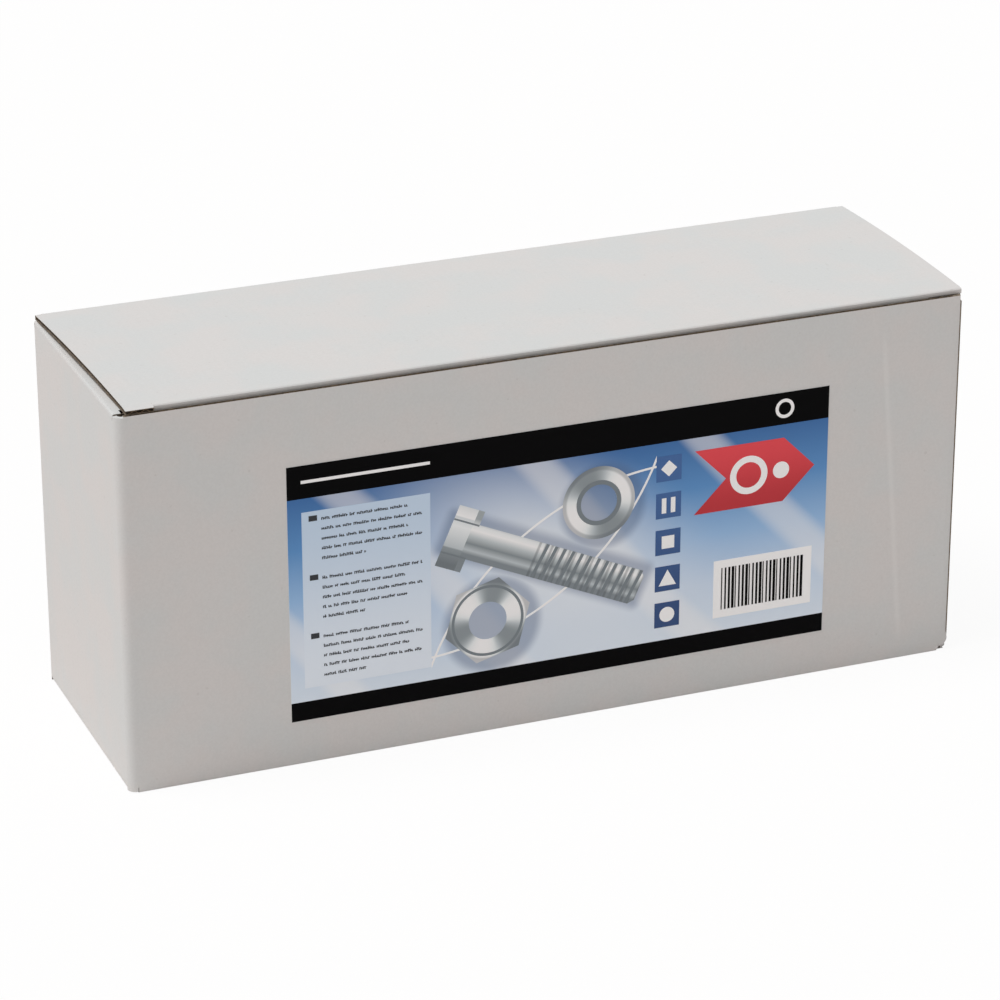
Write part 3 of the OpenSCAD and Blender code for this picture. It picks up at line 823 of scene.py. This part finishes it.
def new_material(name, roughness, **shader_values):
    """An empty finish: its node tree, its shader and its place in the object's own coordinates."""
    material = bpy.data.materials.new(name)
    material.use_nodes = True
    tree = material.node_tree
    shader = tree.nodes["Principled BSDF"]
    shader.inputs["Roughness"].default_value = roughness
    for socket, value in shader_values.items():
        shader.inputs[socket.replace("_", " ")].default_value = value
    place = add(tree, "ShaderNodeTexCoord").outputs["Object"]
    return material, tree, shader, place


def paint(tree, shader, colour):
    if isinstance(colour, str):
        shader.inputs["Base Color"].default_value = linear(colour)
    else:
        tree.links.new(colour, shader.inputs["Base Color"])


def roughen(tree, shader, height, depth):
    """Bump from a height between 0 and 1, of a real depth."""
    bump = add(tree, "ShaderNodeBump", {"Height": height, "Distance": depth, "Strength": 1.0})
    tree.links.new(bump.outputs["Normal"], shader.inputs["Normal"])


# Finish of the board's paper. A span is the range of the noise over which a pattern fades in
liner_roughness = 0.86
liner_gloss = 0.3
mottle_size = 24 * MM
mottle_span = (0.35, 0.65)
fibre_size = 0.8 * MM
fibre_span = (0.3, 0.7)
fibre_share = 0.05
fibre_depth = 0.012 * MM
ripple_share = 0.35
speck_size = 1.7 * MM
speck_span = (0.8, 0.85)
speck_share = 0.1
# Painted highlight along the glue tab's edge on the front panel: its width, its fade at the ends and its
# strength
tab_highlight_w = 1.7 * MM
tab_highlight_fade = 6 * MM
tab_highlight_share = 0.2
raw_roughness = 0.92
raw_gloss = 0.2
raw_streak_size = 1.1 * MM


def tab_highlight(tree, x, y, z):
    """Painted highlight: a faint light line on the front panel along the edge of the glue tab behind it,
    where the tab's ridge catches the light.
    """
    top_x, foot_x = half_l - tab_top_w, half_l - tab_foot_w
    top_z, foot_z = tab_top - tab_slope, tab_lift
    off = calc(tree, "ABSOLUTE", calc(tree, "SUBTRACT", x, remap(tree, z, foot_z, top_z, foot_x, top_x)))
    on_line = fade(tree, off, 0.0, tab_highlight_w, 1.0, 0.0)
    at_front = calc(tree, "LESS_THAN", y, -half_w + MM)
    above_foot = fade(tree, z, foot_z - tab_highlight_fade, foot_z + tab_highlight_fade)
    below_top = fade(tree, z, top_z - tab_highlight_fade, top_z + tab_highlight_fade, 1.0, 0.0)
    in_height = calc(tree, "MULTIPLY", above_foot, below_top)
    return calc(tree, "MULTIPLY", calc(tree, "MULTIPLY", on_line, at_front), in_height)


def board_liner(name, warm, cool, across, paints_tab_highlight=False):
    """Uncoated liner of corrugated board: soft mottling, fibres, a few specks and a faint trace of the
    flutes."""
    material, tree, shader, place = new_material(name, liner_roughness, Specular_IOR_Level=liner_gloss)
    x, y, z = split(tree, place)
    cloud = fade(tree, noise(tree, place, mottle_size, 3.0), *mottle_span)
    fibres = noise(tree, place, fibre_size, 4.0)
    specks = noise(tree, place, speck_size, 0.0)
    colour = mix(tree, cloud, warm, cool)
    colour = mix(tree, fade(tree, fibres, *fibre_span, fibre_share, 0.0), colour, "#8f8a84")
    colour = mix(tree, fade(tree, specks, *speck_span, 0.0, speck_share), colour, "#8c8378")
    if paints_tab_highlight:
        # Painted highlight along the glue tab's edge, mixed towards near white
        trace = calc(tree, "MULTIPLY", tab_highlight(tree, x, y, z), tab_highlight_share)
        colour = mix(tree, trace, colour, "#f4f3f1")
    paint(tree, shader, colour)
    ripple = calc(tree, "SINE", calc(tree, "MULTIPLY", (x, y)[across], math.tau / flute_pitch))
    roughen(tree, shader, calc(tree, "MULTIPLY_ADD", ripple, ripple_share, fibres), fibre_depth)
    return material


def raw_paper(name, dark, light):
    """Cut edge or flute of brown recycled paper, streaked by its fibres. In dark colours it is also the
    painted shade on the floor of the channels between the liners.
    """
    material, tree, shader, place = new_material(name, raw_roughness, Specular_IOR_Level=raw_gloss)
    streaks = noise(tree, place, raw_streak_size, 3.0)
    paint(tree, shader, mix(tree, fade(tree, streaks, *fibre_span), dark, light))
    return material


# Finish of the label's inks
print_roughness = 0.42
print_gloss = 0.4
black_roughness = 0.5
black_gloss = 0.04
steel_roughness = 0.34
steel_gloss = 0.5

# Printed bolt, nut and washer, with the shadow that they throw on the printed field
bolt_slope = math.radians(24)
bolt_half_w = 6.5 * MM
bolt_l = 78 * MM
head_half_w = 11.5 * MM
head_l = 10 * MM
thread_l = 42 * MM
thread_pitch = 2.4 * MM
groove_span = (-0.3, 0.9)
groove_share = 0.45
rim_start, rim_end = 0.86, 0.93
rim_share = 0.45
round_reach = 1.2
glint_turn = 0.6
nut_glints = 3.0
washer_glints = 2.0
shade_reach = 4.5 * MM
shade_drop = 1.6 * MM
shade_share = 0.5

# Light in the printed field: a glow along the bolt, and beams across the field
glow_reach = 46 * MM
glow_squash = 0.55
glow_share = 0.85
beam_span = (0.78, 1.0)
beam_share = 0.45


def find_hardware():
    """The boxes of the printed bolt, nut and washer: the bolt is the widest and the nut wider than the
    washer."""
    return sorted(islands("label_silver"), key=lambda box: -(box[1].x - box[0].x))


def centre_of(box):
    return (box[0] + box[1]) / 2


def radius_of(box):
    return (box[1].z - box[0].z) / 2


def round_place(tree, place, box, drop=0.0):
    """The way from the middle of a printed round to a place, and its length."""
    middle = centre_of(box) + Vector((drop, 0, -drop))
    flat = vector_calc(tree, "MULTIPLY", place, RIGHT + UP)[0]
    off = vector_calc(tree, "SUBTRACT", flat, (middle.x, 0, middle.z))[0]
    return off, vector_calc(tree, "LENGTH", off)["Value"]


def bolt_place(tree, place, box, drop=0.0):
    """Places along and across the printed bolt, from its middle."""
    middle = centre_of(box) + Vector((drop, 0, -drop))
    off = vector_calc(tree, "SUBTRACT", place, middle)[0]
    turned = add(tree, "ShaderNodeVectorRotate", {"Vector": off, "Angle": -bolt_slope},
                 rotation_type="Y_AXIS")
    x, _, z = split(tree, turned.outputs[0])
    return x, z


def print_material(name):
    return new_material(name, print_roughness, Specular_IOR_Level=print_gloss)


def printed_ink(name, colour, roughness=print_roughness, gloss=print_gloss):
    material, tree, shader, _ = new_material(name, roughness, Specular_IOR_Level=gloss)
    paint(tree, shader, colour)
    return material


def upright_fade(name, node, low_colour, high_colour):
    """An ink that runs from one colour at the foot of a printed node to another at its top."""
    material, tree, shader, place = print_material(name)
    low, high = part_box(node)
    height = split(tree, place)["Z"]
    paint(tree, shader, mix(tree, fade(tree, height, low.z, high.z), low_colour, high_colour))
    return material


def hardware_shade(tree, place, hardware):
    """The soft shadow of the printed hardware on the field below it."""
    bolt, nut, washer = hardware
    along, across = bolt_place(tree, place, bolt, shade_drop)
    past_end = calc(tree, "MAXIMUM", past(tree, along, bolt_l / 2), 0.0)
    past_side = calc(tree, "MAXIMUM", past(tree, across, bolt_half_w), 0.0)
    shade = fade(tree, hypot(tree, past_end, past_side), 0.0, shade_reach, shade_share, 0.0)
    for box in (nut, washer):
        _, distance = round_place(tree, place, box, shade_drop)
        radius = radius_of(box)
        part = fade(tree, distance, radius, radius + shade_reach, shade_share, 0.0)
        shade = calc(tree, "MAXIMUM", shade, part)
    return shade


def blue_field_ink(hardware):
    """The label's ground: deep blue above, pale below, with a light glow and soft beams behind the
    hardware."""
    material, tree, shader, place = print_material("print_blue_field")
    low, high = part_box("label_blue")
    rise = remap(tree, split(tree, place)["Z"], low.z, high.z)
    colour = ramp(tree, rise, [
        (0.0, "#e4f0fc"), (0.25, "#cfe1f6"), (0.5, "#9ac1ea"), (0.75, "#5993ce"), (1.0, "#326cab")])
    along, across = bolt_place(tree, place, hardware[0])
    spread = hypot(tree, calc(tree, "MULTIPLY", along, glow_squash), across)
    colour = mix(tree, fade(tree, spread, 0.0, glow_reach, glow_share, 0.0), colour, "#fafdff")
    beams = add(tree, "ShaderNodeTexWave", {
        "Vector": place, "Scale": 9.0, "Distortion": 3.0, "Detail": 1.0, "Detail Scale": 0.6},
        bands_direction="DIAGONAL").outputs["Fac"]
    colour = mix(tree, fade(tree, beams, *beam_span, 0.0, beam_share), colour, "#ffffff")
    paint(tree, shader, mix(tree, hardware_shade(tree, place, hardware), colour, "#44618c"))
    return material


def metal_print(hardware):
    """Printed steel hardware: the bolt shaded as a cylinder, the nut and washer as turned faces."""
    material, tree, shader, place = new_material(
        "print_steel_gloss", steel_roughness, Specular_IOR_Level=steel_gloss)
    bolt, nut, washer = hardware
    along, across = bolt_place(tree, place, bolt)
    head = calc(tree, "LESS_THAN", along, -bolt_l / 2 + head_l)
    half = remap(tree, head, 0.0, 1.0, bolt_half_w, head_half_w)
    share = remap(tree, calc(tree, "DIVIDE", across, half), -1.0, 1.0)
    shank = ramp(tree, share, [
        (0.0, "#828c92"), (0.12, "#c2cbcf"), (0.3, "#858f94"), (0.5, "#c4cdd0"),
        (0.68, "#ffffff"), (0.8, "#f1f5f6"), (1.0, "#a5aeb2")])
    facets = ramp(tree, share, [
        (0.0, "#6f797f"), (0.24, "#929ca1"), (0.26, "#c3ccd0"), (0.6, "#f4f8f9"),
        (0.74, "#dfe5e8"), (0.76, "#ffffff"), (1.0, "#d6dde0")])
    groove = calc(tree, "SINE", calc(tree, "MULTIPLY", along, math.tau / thread_pitch))
    on_thread = calc(tree, "GREATER_THAN", along, bolt_l / 2 - thread_l)
    threaded = calc(tree, "MULTIPLY", fade(tree, groove, *groove_span, 0.0, groove_share), on_thread)
    colour = mix(tree, threaded, shank, "#4a525b")
    colour = mix(tree, head, colour, facets)
    for box, glints in ((nut, nut_glints), (washer, washer_glints)):
        off, distance = round_place(tree, place, box)
        x, _, z = split(tree, off)
        angle = calc(tree, "ARCTAN2", z, x)
        glint = calc(tree, "SINE", calc(tree, "MULTIPLY_ADD", angle, glints, glint_turn))
        ring = ramp(tree, fade(tree, glint, -1.0, 1.0), [
            (0.0, "#8d979c"), (0.35, "#c0c9cd"), (0.7, "#eef3f4"), (1.0, "#ffffff")])
        radius = radius_of(box)
        rim = fade(tree, distance, radius * rim_start, radius * rim_end, 0.0, rim_share)
        ring = mix(tree, rim, ring, "#5d656e")
        colour = mix(tree, calc(tree, "LESS_THAN", distance, radius * round_reach), colour, ring)
    paint(tree, shader, colour)
    return material


def dress_label():
    """Gives the printed solids their inks."""
    hardware = find_hardware()
    inks = {
        "label_paper": printed_ink("coated_label_paper", "#fbfbfa"),
        "label_blue": blue_field_ink(hardware),
        "label_black": printed_ink("print_black", "#040405", black_roughness, black_gloss),
        "label_pale": upright_fade("print_pale_panel", "label_pale", "#ebf4fe", "#cbdff4"),
        "label_navy": upright_fade("print_navy", "label_navy", "#24477c", "#3c68a4"),
        "label_red": upright_fade("print_red", "label_red", "#c3222e", "#ec424d"),
        "label_silver": metal_print(hardware),
        "label_steel": printed_ink("print_steel_grey", "#7a848a"),
        "label_white": printed_ink("print_white", "#ffffff"),
    }
    for node, ink in inks.items():
        for material_slot in frame["nodes"][node].material_slots:
            material_slot.material = ink
    build_small_print(printed_ink("print_text_grey", "#23272d"))


# Camera and light
camera_spot = Vector((-489.72, -1228.37, 629.0)) * MM
camera_turn = math.radians(21.698)
camera_dip = math.radians(23.137)
camera_roll = math.radians(-0.0785)
camera_lens = 145.97
camera_sensor = 36
floor_size = 12
floor_roughness = 0.95
floor_bounce = "#f7f1ee"
floor_seen = 0.94
sky_strength = 0.36
sun_strength = 2.05
sun_angle = math.radians(28)
sun_towards = Vector((-0.36, 0.03, 0.93))


def add_camera():
    data = bpy.data.cameras.new("camera")
    data.lens = camera_lens
    data.sensor_width = camera_sensor
    camera = bpy.data.objects.new("camera", data)
    bpy.context.scene.collection.objects.link(camera)
    aim = Euler((math.pi / 2 - camera_dip, 0, -camera_turn)).to_matrix()
    aim = aim @ Matrix.Rotation(camera_roll, 3, "Z")
    camera.matrix_world = Matrix.Translation(camera_spot) @ aim.to_4x4()
    bpy.context.scene.camera = camera


def add_floor():
    """A white sweep that throws a slightly warm light back. The camera sees it almost without shadow,
    apart from under the carton."""
    bpy.ops.mesh.primitive_plane_add(size=floor_size)
    floor = bpy.context.object
    floor.name = "studio_floor"
    material, tree, shader, place = new_material("studio_floor", floor_roughness, Specular_IOR_Level=0.0)
    paint(tree, shader, floor_bounce)
    x, y, _ = split(tree, place)
    outside = calc(tree, "MAXIMUM", past(tree, x, half_l - board_t), past(tree, y, half_w - board_t))
    clear = calc(tree, "GREATER_THAN", outside, 0.0)
    seen = calc(tree, "MULTIPLY", add(tree, "ShaderNodeLightPath").outputs["Is Camera Ray"], clear)
    glow = add(tree, "ShaderNodeEmission", {"Color": "#ffffff", "Strength": 1.0})
    share = calc(tree, "MULTIPLY", seen, floor_seen)
    blend = add(tree, "ShaderNodeMixShader", {0: share, 1: shader.outputs[0], 2: glow.outputs[0]})
    tree.links.new(blend.outputs[0], tree.nodes["Material Output"].inputs["Surface"])
    floor.data.materials.append(material)


def add_world():
    """White for the camera and for what is mirrored, and a soft grey sky for the light."""
    world = bpy.data.worlds.new("world")
    world.use_nodes = True
    tree = world.node_tree
    path = add(tree, "ShaderNodeLightPath")
    seen = calc(tree, "MAXIMUM", path.outputs["Is Camera Ray"], path.outputs["Is Glossy Ray"])
    seen = calc(tree, "MAXIMUM", seen, path.outputs["Is Transmission Ray"])
    strength = remap(tree, seen, 0.0, 1.0, sky_strength, 1.0)
    background = tree.nodes["Background"]
    background.inputs["Color"].default_value = (1, 1, 1, 1)
    tree.links.new(strength, background.inputs["Strength"])
    bpy.context.scene.world = world


def add_sun():
    data = bpy.data.lights.new("key_light", "SUN")
    data.energy = sun_strength
    data.angle = sun_angle
    lamp = bpy.data.objects.new("key_light", data)
    bpy.context.scene.collection.objects.link(lamp)
    lamp.rotation_euler = sun_towards.to_track_quat("Z", "Y").to_euler()


board = [
    board_liner("white_liner_across_x", "#dddad8", "#d9dad9", ACROSS_X, paints_tab_highlight=True),
    board_liner("white_liner_across_y", "#dddad8", "#d9dad9", ACROSS_Y),
    board_liner("kraft_liner_across_x", "#9b8366", "#957e62", ACROSS_X),
    board_liner("kraft_liner_across_y", "#9b8366", "#957e62", ACROSS_Y),
    raw_paper("cut_board_edge", "#6a6056", "#867868"),
    # Painted shade: the dark floor of the open channels in the cut edges
    raw_paper("flute_shadow", "#3a332d", "#4b433a"),
]
flute_paper = raw_paper("flute_paper", "#665643", "#85715a")

build_carton(board)
build_lid(board)
build_fold_web(board)
build_flutes("carton_flutes", "carton", carton_flute_rows(), flute_paper)
build_flutes("lid_flutes", "lid", lid_flute_rows(), flute_paper)
dress_label()

add_camera()
add_floor()
add_world()
add_sun()
bpy.context.scene.view_settings.view_transform = "Standard"
